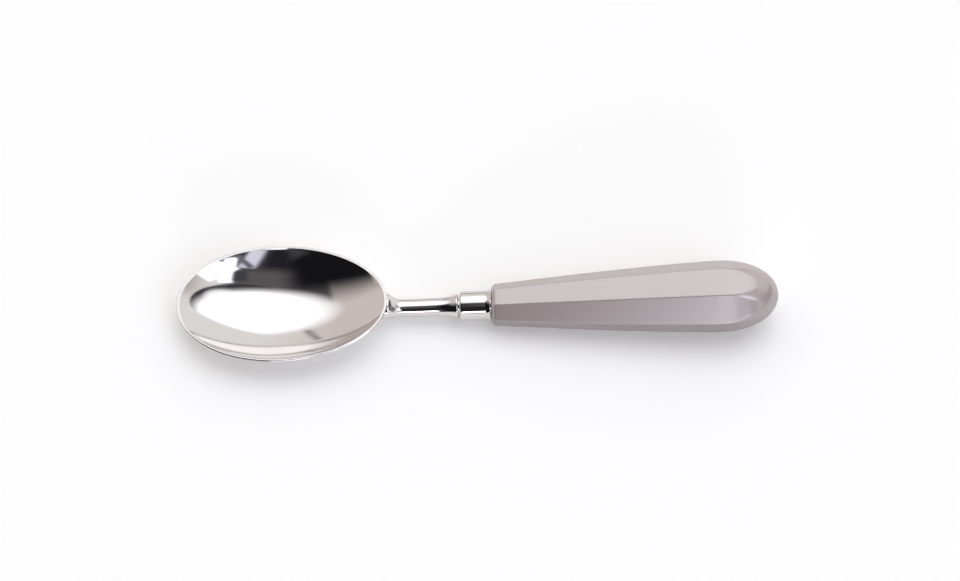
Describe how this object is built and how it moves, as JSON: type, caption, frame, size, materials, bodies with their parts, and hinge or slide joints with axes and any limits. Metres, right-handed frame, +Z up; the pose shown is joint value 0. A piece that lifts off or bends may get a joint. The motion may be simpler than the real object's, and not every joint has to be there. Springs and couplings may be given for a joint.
{
  "type": "quenelle spoon",
  "caption": "Quenelle spoon with a polished oval bowl, a round neck, a turned collar and a faceted greige resin handle, for shaping and serving soft food.",
  "frame": {"origin": "on the table, under the middle of the spoon's outline", "axes": "+X from the tip of the bowl to the butt of the handle, +Z up out of the bowl's mouth, +Y across the spoon"},
  "size_m": [0.1998, 0.0426, 0.0209],
  "materials": {
    "polished_steel": "mirror polished",
    "greige_resin": "satin gloss",
    "set_adhesive": "satin"
  },
  "bodies": {
    "root": {"bowl": "polished_steel", "neck": "polished_steel", "collar": "polished_steel", "handle": "greige_resin", "tang_adhesive": "set_adhesive"}
  },
  "joints": []
}
